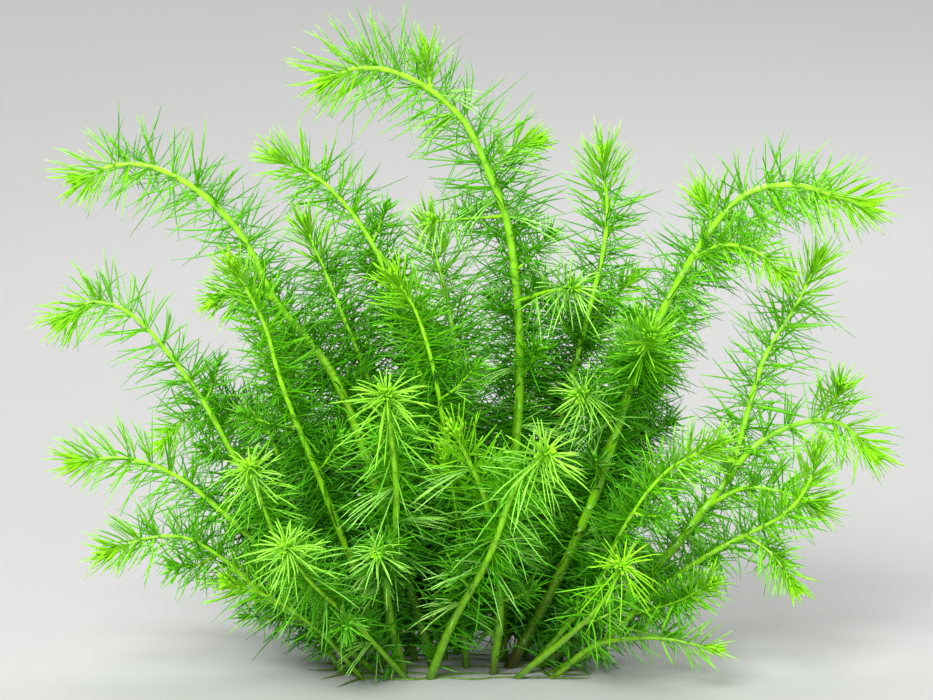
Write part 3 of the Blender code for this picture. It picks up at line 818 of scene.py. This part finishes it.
def grow_whorls(needles, line, bare):
    """Adds the whorls of leaves along a line, down to where its bare foot starts."""
    chance = needles.chance
    is_star = line.name in STARS
    paleness = PALE_SHOOTS.get(line.name, 0.0)
    sparse_foot = SPARSE_FOOT if line.points[0][1] < FRONT_FEET else SPARSE_FOOT / 2
    for number, back in enumerate(line.nodes()):
        place = line.length - back
        if place < bare:
            break
        middle, ahead, side, up = line.at(place)
        low = min(1.0, back / OLD_FROM)
        young = math.exp(-back / (STAR_YOUNG_OVER if is_star else YOUNG_OVER))
        young *= SPRIG_YOUTH if line.name == "sprig" else 1
        inside = depth_inside(middle)
        foot = min(1.0, (line.points[0][2] + place) / sparse_foot)
        crowd = whorl_size(line, back, inside) * (SPARSE_SHARE if line.name in SPARSE_SHOOTS else 1)
        count = int(round(crowd * (FOOT_SHARE + (1 - FOOT_SHARE) * foot)))
        uneven = chance.uniform(-TURN_SPREAD, TURN_SPREAD, count)
        turns = math.tau * (np.arange(count) + uneven) / count + number * WHORL_TURN
        out = directions_round(turns, side, up)
        shown = chance.random(count) > FRONT_GAP * (out[:, 1] < HIDING) * (back > TUFT)
        out, count = out[shown], int(shown.sum())
        angles = leaf_angles(line, back, count, chance)
        direction = np.cos(angles)[:, None] * ahead + np.sin(angles)[:, None] * out
        if not is_star and line.name != "sprig":
            direction[:, 2] += RAISING * (1 - abs(ahead[2])) * np.maximum(0, out[:, 2])
        bend = chance.normal(0, BEND_SPREAD + OLD_BEND_SPREAD * low, (count, 3))
        if is_star:
            bend[:, 2] -= STAR_DROOP
        else:
            bend += YOUNG_CURL * (1 - CURL_TURNS * low) * ahead - np.array([0, 0, OLD_DROOP * low])
        length = line.reach * grown(STAR_LENGTH if is_star else LENGTH, back)
        length = length * np.minimum(chance.normal(1 + OLD_LONGER * low, LENGTH_SPREAD, count), LONGEST)
        length = length * (FOOT_LENGTH + (1 - FOOT_LENGTH) * foot)
        length = length * (1 - BURIED_SHORTER * inside * (1 - young))
        along = chance.normal(0, START_SPREAD, count)
        start = middle + out * line.width(place) * START_OUT + ahead * along[:, None]
        broad = BROADENING + (1 - BROADENING) * young
        width = OLD_WIDTH + (YOUNG_WIDTH - OLD_WIDTH) * (1 - inside) * broad
        # Young leaves are lighter, and old leaves deep in the clump get painted shade.
        tone = OLD_TONE + YOUNG_LIGHTER * young - PAINTED_SHADE_INSIDE * inside * (1 - young)
        tone = tone + chance.normal(0, TONE_SPREAD, count)
        pale = paleness + chance.uniform(0.0, PALE_SPREAD, count)
        pale += PALE_WHORL if chance.random() < PALE_WHORLS else 0
        needles.add(start, direction, bend, length, width, tone, pale)
        if back > FUZZ_FROM and line.name not in SPARSE_SHOOTS:
            grow_fuzz(needles, line, place, inside, foot)


# The curly old leaves between the whorls.
FUZZ = 144  # in the gap over a node, where the clump is thickest
FUZZ_FROM = 11  # back from the tip
FUZZ_OUTSIDE = 0.2  # of them, left at the clump's outside
OPEN_FUZZ = 0.04  # the same, on the open shoots
BURIED_FUZZ = 1.2  # of them, added towards the clump's middle, up to all
FUZZ_FOOT = 0.15  # of them, left at a stem's foot
FUZZ_HIDING = -0.35  # how far forward such a leaf may point, or it is left out
FUZZ_SPAN = (-1, 6)  # along the stem from the node
FUZZ_SPREAD = 0.45  # of their directions
FUZZ_CURL = 0.38
MOST_CURL = 0.5
FUZZ_LENGTHS = (0.5, 1.1)  # as shares of the shoot's reach
BURIED_LONGER = 0.25
FUZZ_TONE = 0.48
FUZZ_PAINTED_SHADE = 0.36  # painted shade, deep in the clump
FUZZ_PALE = 0.03
FUZZ_WIDTH = 0.95  # beside an old leaf
BURIED_WIDER = 0.65


def grow_fuzz(needles, line, place, inside, foot):
    """Adds thin curly old leaves around a stretch of stem, most of them deep in the clump."""
    chance = needles.chance
    outside = OPEN_FUZZ if line.name in OPEN_SHOOTS else FUZZ_OUTSIDE
    count = int(FUZZ * min(1.0, outside + BURIED_FUZZ * inside) * (FUZZ_FOOT + (1 - FUZZ_FOOT) * foot))
    middle, ahead, side, up = line.at(place)
    out = directions_round(chance.uniform(0, math.tau, count), side, up)
    out = out[out[:, 1] > FUZZ_HIDING]
    count = len(out)
    direction = unit(out + chance.normal(0, FUZZ_SPREAD, (count, 3)))
    along = chance.uniform(*FUZZ_SPAN, count)
    start = middle + ahead * along[:, None] + out * line.width(place) * START_OUT
    bend = np.clip(chance.normal(0, FUZZ_CURL, (count, 3)), -MOST_CURL, MOST_CURL)
    length = line.reach * chance.uniform(*FUZZ_LENGTHS, count)
    length = length * (FOOT_LENGTH + (1 - FOOT_LENGTH) * foot) * (1 + BURIED_LONGER * inside)
    # Painted shade: the curly leaves are darker deep in the clump.
    tone = FUZZ_TONE - FUZZ_PAINTED_SHADE * inside + chance.normal(0, TONE_SPREAD, count)
    width = OLD_WIDTH * (FUZZ_WIDTH + BURIED_WIDER * inside)
    needles.add(start, direction, bend, length, width, tone, FUZZ_PALE)


# The closed bunch of young leaves at a tip.
HEART = 20  # leaves in it
SPRIG_HEART = 6
HEART_ANGLES = (2, 26)  # from the stem ahead, in degrees
STAR_HEART_ANGLES = (2, 80)
HEART_DEPTH = 2.5  # of their feet, back from the tip
HEART_CURL = 0.12  # outwards, as a share of their length
HEART_LENGTHS = (0.25, 0.55)  # as shares of the shoot's reach
STAR_HEART_LENGTHS = (0.25, 0.35)
HEART_WIDTH = 1.5
HEART_TONE = 0.96
SPRIG_HEART_TONE = 0.55
HEART_TONE_SPREAD = 0.03
HEART_PALES = (0.02, 0.16)


def grow_heart(needles, line):
    """Adds the bunch of short young leaves, still closed, at a line's tip."""
    chance = needles.chance
    is_star, is_sprig = line.name in STARS, line.name == "sprig"
    count = SPRIG_HEART if is_sprig else HEART
    middle, ahead, side, up = line.at(line.length)
    out = directions_round(chance.uniform(0, math.tau, count), side, up)
    angles = np.radians(chance.uniform(*(STAR_HEART_ANGLES if is_star else HEART_ANGLES), count))
    direction = np.cos(angles)[:, None] * ahead + np.sin(angles)[:, None] * out
    start = middle - ahead * chance.uniform(0, HEART_DEPTH, count)[:, None]
    length = line.reach * chance.uniform(*(STAR_HEART_LENGTHS if is_star else HEART_LENGTHS), count)
    tone = (SPRIG_HEART_TONE if is_sprig else HEART_TONE) + chance.normal(0, HEART_TONE_SPREAD, count)
    pale = chance.uniform(*HEART_PALES, count)
    needles.add(start, direction, HEART_CURL * out, length, HEART_WIDTH, tone, pale)


# Loose sprays of long leaves at a node, each with the place on its shoot's stem as seen from the front,
# the way that it points as (across, towards the back, up), its length and how pale it is, the paleness
# partly the leaves' own whitish colour and partly painted highlight.
Spray = namedtuple("Spray", "seen towards length pale", defaults=[0.65])
SPRAYS = {
    "tall": [
        Spray((19, 138), (1, -0.4, 0.1), 17), Spray((12, 152), (1, -0.2, 0.35), 16),
        Spray((-4, 174), (1, -0.3, 0.3), 15), Spray((15, 143), (-1, -0.3, -0.25), 17),
        Spray((21, 92), (-1, -0.5, 0.1), 15), Spray((20, 75), (1, -0.5, 0.2), 15),
        Spray((-24, 182), (-0.15, -0.2, 1), 12, 0.1), Spray((2, 169), (-1, -0.2, -0.4), 15, 0.2),
    ],
    "upper_left": [Spray((-43, 101), (-1, -0.5, -0.1), 14), Spray((-24, 62), (-0.6, -0.8, 0.2), 14)],
    "left": [Spray((-105, 112), (-0.45, -0.2, 1), 12, 0.1)],
    "upper_middle": [Spray((-16, 112), (1, -0.5, 0.2), 15)],
    "right_arch": [
        Spray((49, 78), (-1, -0.4, -0.05), 16), Spray((62, 103), (-1, -0.3, 0.35), 15),
        Spray((36, 38), (0.7, -0.6, 0.5), 15), Spray((68, 116), (1, -0.5, -0.2), 14),
    ],
    "low_right": [Spray((70, 41), (0.9, -0.4, -0.25), 14), Spray((86, 60), (-0.6, -0.6, 0.4), 13)],
    "star": [
        Spray((-15, 45), (1, -0.35, 0.4), 18), Spray((-20, 56), (-1, -0.3, -0.25), 16),
        Spray((-21, 37), (-0.9, -0.4, -0.35), 15), Spray((-18, 28), (-0.7, -0.7, -0.1), 13),
    ],
    "front_right": [
        Spray((13, 39), (1, -0.3, 0.5), 15), Spray((3, 22), (-1, -0.4, 0.05), 15),
        Spray((9, 31), (-1, -0.4, 0.1), 14),
    ],
    "front_middle": [Spray((6, 62), (-0.9, -0.4, -0.25), 16), Spray((14, 36), (1, -0.3, 0.1), 14)],
    "front_left": [Spray((-42, 24), (0.4, -0.8, 0.3), 13)],
    "front_low_left": [Spray((-22, 11), (-0.8, -0.5, -0.2), 13)],
    "back_middle": [Spray((3, 80), (0.6, 0.7, 0.2), 16), Spray((4, 50), (-0.6, 0.7, 0.2), 15)],
    "back_left": [Spray((-38, 60), (-0.4, 0.8, 0.2), 15)],
    "back_right": [Spray((44, 60), (0.5, 0.8, 0.1), 15)],
}
SPRAY_LEAVES = 10
SPRAY_SPREAD = 0.24  # of their directions
SPRAY_DROOP = 0.26  # as a share of their length
DROOP_SPREAD = 0.06
SPRAY_LENGTHS = (0.75, 1.12)  # as shares of the spray's
SPRAY_TONE = 0.92
PALE_DARKER = 0.2  # by which the palest sprays are darker
SPRAY_TONE_SPREAD = 0.06
SPRAY_PALES = (0.7, 1.35)  # as shares of the spray's
SPRAY_OUT = 0.2  # of a stem's girth, from its middle to where they start


def grow_spray(needles, line, spray):
    """Adds a spray of long leaves that stands off its stem on one side and droops at its ends."""
    chance = needles.chance
    foot = line.points[nearest_place(line.points, spray.seen)]
    axis = unit(np.array(spray.towards, float))
    direction = unit(axis + chance.normal(0, SPRAY_SPREAD, (SPRAY_LEAVES, 3)))
    bend = np.array([0, 0, -SPRAY_DROOP]) + chance.normal(0, DROOP_SPREAD, (SPRAY_LEAVES, 3))
    length = spray.length * chance.uniform(*SPRAY_LENGTHS, SPRAY_LEAVES)
    tone = SPRAY_TONE - PALE_DARKER * spray.pale
    tone = tone + chance.uniform(-SPRAY_TONE_SPREAD, SPRAY_TONE_SPREAD, SPRAY_LEAVES)
    pale = spray.pale * chance.uniform(*SPRAY_PALES, SPRAY_LEAVES)
    start = foot + direction * line.girth * SPRAY_OUT
    needles.add(start, direction, bend, length, OLD_WIDTH, tone, pale)


LEAF_TONES = [
    (0.0, (0.008, 0.11, 0.0002)),
    (0.25, (0.04, 0.30, 0.0004)),
    (0.5, (0.12, 0.59, 0.0008)),
    (0.75, (0.26, 0.86, 0.002)),
    (1.0, (0.45, 0.98, 0.01)),
]
# The pale green that the leaves' paleness mixes in: partly their own whitish colour, partly painted
# highlight.
PALE_AND_HIGHLIGHT_GREEN = (0.52, 1.0, 0.24, 1)
GLOSS_TINT = (0.7, 1, 0.3, 1)
leaf_skin, tree, shader = principled("needle leaf", roughness=0.35, specular=0.12)
shader.inputs["Specular Tint"].default_value = GLOSS_TINT
link = tree.links.new
spread = add_node(tree, "UVMap", uv_map="OFBake")
parts = add_node(tree, "SeparateXYZ")
tones = ramp_node(tree, LEAF_TONES)
paled = add_node(tree, "Mix", [(7, PALE_AND_HIGHLIGHT_GREEN)], data_type="RGBA")
link(spread.outputs[0], parts.inputs[0])
link(parts.outputs["X"], tones.inputs[0])
link(parts.outputs["Y"], paled.inputs["Factor"])
link(tones.outputs[0], paled.inputs[6])
link(paled.outputs[2], shader.inputs["Base Color"])

for number, (name, lines) in enumerate(plant_lines.items()):
    needles = Needles(SEED + number)
    for line in lines:
        grow_whorls(needles, line, BARE_FOOT if line.rooted else BARE_FORK)
        grow_heart(needles, line)
    for spray in SPRAYS.get(name, []):
        grow_spray(needles, lines[0], spray)
    mesh = needles.mesh("needles_" + name)
    mesh.materials.append(leaf_skin)
    piece = bpy.data.objects.new("needles_" + name, mesh)
    bpy.context.scene.collection.objects.link(piece)
    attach(piece, "root")
    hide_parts("leaves_" + name)


# The rootstock. Low creeping stems join the feet of all the shoots under the leaves. They lie half in
# the ground, so they are cut off flat below, and a few thin roots trail from them to the side.
RUNNERS = [  # each by the places (x, y) that it passes on the ground, in millimetres
    [(-28, -15), (-20, -14.2), (-13, -14.6), (0, -14), (8, -14.4), (20, -13), (33, -13)],
    [(-34, -7), (-22, -8), (-14, -8), (0, -9), (13, -8), (23, -7), (33, -6)],
    [(-32, -1), (-20, -1), (-5, 0), (5, 0), (12, 0.8), (18, 0), (30, 1)],
    [(-29, 8), (-20, 9), (-11, 9.2), (-2, 10), (7, 10.4), (16, 9), (29, 8)],
    [(-16, 16), (-12, 16.2), (2, 18), (14, 16), (25, 14)],
    [(-26, -16), (-29, -9), (-30, -2), (-27, 9), (-12, 17)],
    [(30, -14), (29, -7), (28, 0), (26, 8), (22, 16)],
]
RUNNER_GIRTH = 1.3
RUNNER_HEIGHT = 0.05  # of its middle over the cut
RUNNER_WANDER = 0.7  # to either side
RUNNER_WIND = 2.6  # along a runner, for a turn of one radian
WIND_TWIST = 0.83  # of that turn, from front to back
RUNNER_AGE = 0.4 * OLDEST
ROOT_AGE = 0.8 * OLDEST
ROOT_AGES = [
    (0.0, (0.24, 0.64, 0.016)),
    (0.6, (0.20, 0.50, 0.016)),
    (1.0, (0.20, 0.32, 0.02)),
]
ROOT_FEET = [
    (-30, -8), (-33, -4), (-27, -16), (-31, 3), (32, -9),
    (33, -4), (31, -14), (30, 2), (22, 15), (-14, 17),
]
ROOT_LENGTH = 9
ROOT_GIRTH = 0.7
ROOT_START = 0.6  # over the ground
ROOT_LIES = 0.35  # its middle, over the ground
ROOT_ASIDE = 0.6  # how far a root may turn to either side, as a share of its length
ROOT_SEED = SEED + 1000
ROOT_RING = (0.08, 0.14, 0.01, 1)
runner_lines = []
for number, places in enumerate(RUNNERS):
    route = smooth_curve([(*place, RUNNER_HEIGHT) for place in places])
    winding = lengths_along(route) / RUNNER_WIND + number
    route[:, 0] += RUNNER_WANDER * np.cos(winding)
    route[:, 1] += RUNNER_WANDER * np.sin(winding * WIND_TWIST)
    runner_lines.append(Line("runner", route, RUNNER_GIRTH, 0, age=RUNNER_AGE))
chance = np.random.default_rng(ROOT_SEED)
for x, y in ROOT_FEET:
    away = unit(np.array([x, y, 0.0]))
    across = np.array([-away[1], away[0], 0]) * chance.uniform(-ROOT_ASIDE, ROOT_ASIDE)
    start = np.array([x, y, ROOT_START])
    bends = [start, start + (away * 0.5 + across * 0.4) * ROOT_LENGTH, start + (away + across) * ROOT_LENGTH]
    for point in bends[1:]:
        point[2] = ROOT_LIES
    runner_lines.append(Line("root", smooth_curve(bends, steps=8), ROOT_GIRTH, 0, age=ROOT_AGE))
root_skin = stem_material("creeping stem", ROOT_AGES, ROOT_RING)
mesh = stem_mesh("fine_rootstock", runner_lines, True)
mesh.materials.append(root_skin)
piece = bpy.data.objects.new("fine_rootstock", mesh)
bpy.context.scene.collection.objects.link(piece)
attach(piece, "root")
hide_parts("rootstock")


# The studio: a plain pale floor that curves up into a round wall far behind, lit by large soft lights,
# and a camera where the plant is seen from the front, a little from above.
FLOOR_RADIUS = 1.6
COVE = 2.6
COVE_STEPS = 12
WALL_TOP = 4.4
FLOOR_COLOUR = (0.53, 0.53, 0.525, 1)
AIR_LIGHT = 0.32
floor_paint, _, shader = principled("studio floor", roughness=0.9, specular=0.1)
shader.inputs["Base Color"].default_value = FLOOR_COLOUR
shape = bmesh.new()
profile = [(0.0, 0.0), (FLOOR_RADIUS, 0.0)]
for step in range(1, COVE_STEPS + 1):
    turn = math.pi / 2 * step / COVE_STEPS
    profile.append((FLOOR_RADIUS + COVE * math.sin(turn), COVE * (1 - math.cos(turn))))
profile.append((FLOOR_RADIUS + COVE, WALL_TOP))
spots = [shape.verts.new((radius, 0, height)) for radius, height in profile]
edges = [shape.edges.new(pair) for pair in zip(spots, spots[1:])]
bmesh.ops.spin(
    shape, geom=spots + edges, cent=(0, 0, 0), axis=(0, 0, 1), angle=math.tau, steps=64, use_merge=True
)
bmesh.ops.remove_doubles(shape, verts=shape.verts, dist=0.0001)
bmesh.ops.recalc_face_normals(shape, faces=shape.faces)
mesh = bpy.data.meshes.new("floor")
shape.to_mesh(mesh)
shape.free()
mesh.materials.append(floor_paint)
mesh.shade_smooth()
floor = bpy.data.objects.new("floor", mesh)
bpy.context.scene.collection.objects.link(floor)


def area_light(name, place, aim, size, power):
    """Adds a square soft light that shines from place towards aim and isn't seen itself."""
    data = bpy.data.lights.new(name, "AREA")
    data.size = size
    data.energy = power
    lamp = bpy.data.objects.new(name, data)
    lamp.location = place
    lamp.visible_camera = False
    lamp.rotation_euler = (Vector(aim) - Vector(place)).to_track_quat("-Z", "Y").to_euler()
    bpy.context.scene.collection.objects.link(lamp)


PLANT_MIDDLE = (0.005, 0, 0.0975)
area_light("key", (-0.55, -1.55, 1.45), PLANT_MIDDLE, 1.0, 60)
area_light("fill", (0.7, -1.7, 0.45), PLANT_MIDDLE, 1.4, 13)
area_light("back", (0.4, 1.7, 1.5), PLANT_MIDDLE, 1.2, 15)
area_light("wall", (0, 1.2, 3.2), (0, 3.8, 0.7), 2.0, 60)
world = bpy.data.worlds.new("studio air")
world.use_nodes = True
world.node_tree.nodes["Background"].inputs["Color"].default_value = (1, 1, 1, 1)
world.node_tree.nodes["Background"].inputs["Strength"].default_value = AIR_LIGHT
bpy.context.scene.world = world

PICTURE_WIDTH_THERE = 0.28  # what the frame takes in at the plant's middle, in metres
camera_data = bpy.data.cameras.new("camera")
camera_data.lens = camera_data.sensor_width * VIEW_DISTANCE * MM / PICTURE_WIDTH_THERE
camera = bpy.data.objects.new("camera", camera_data)
back = Vector((0, -math.cos(VIEW_TILT), math.sin(VIEW_TILT)))
camera.location = Vector(PLANT_MIDDLE) + back * VIEW_DISTANCE * MM
camera.rotation_euler = (-back).to_track_quat("-Z", "Y").to_euler()
bpy.context.scene.collection.objects.link(camera)
bpy.context.scene.camera = camera
bpy.context.scene.view_settings.view_transform = "Standard"
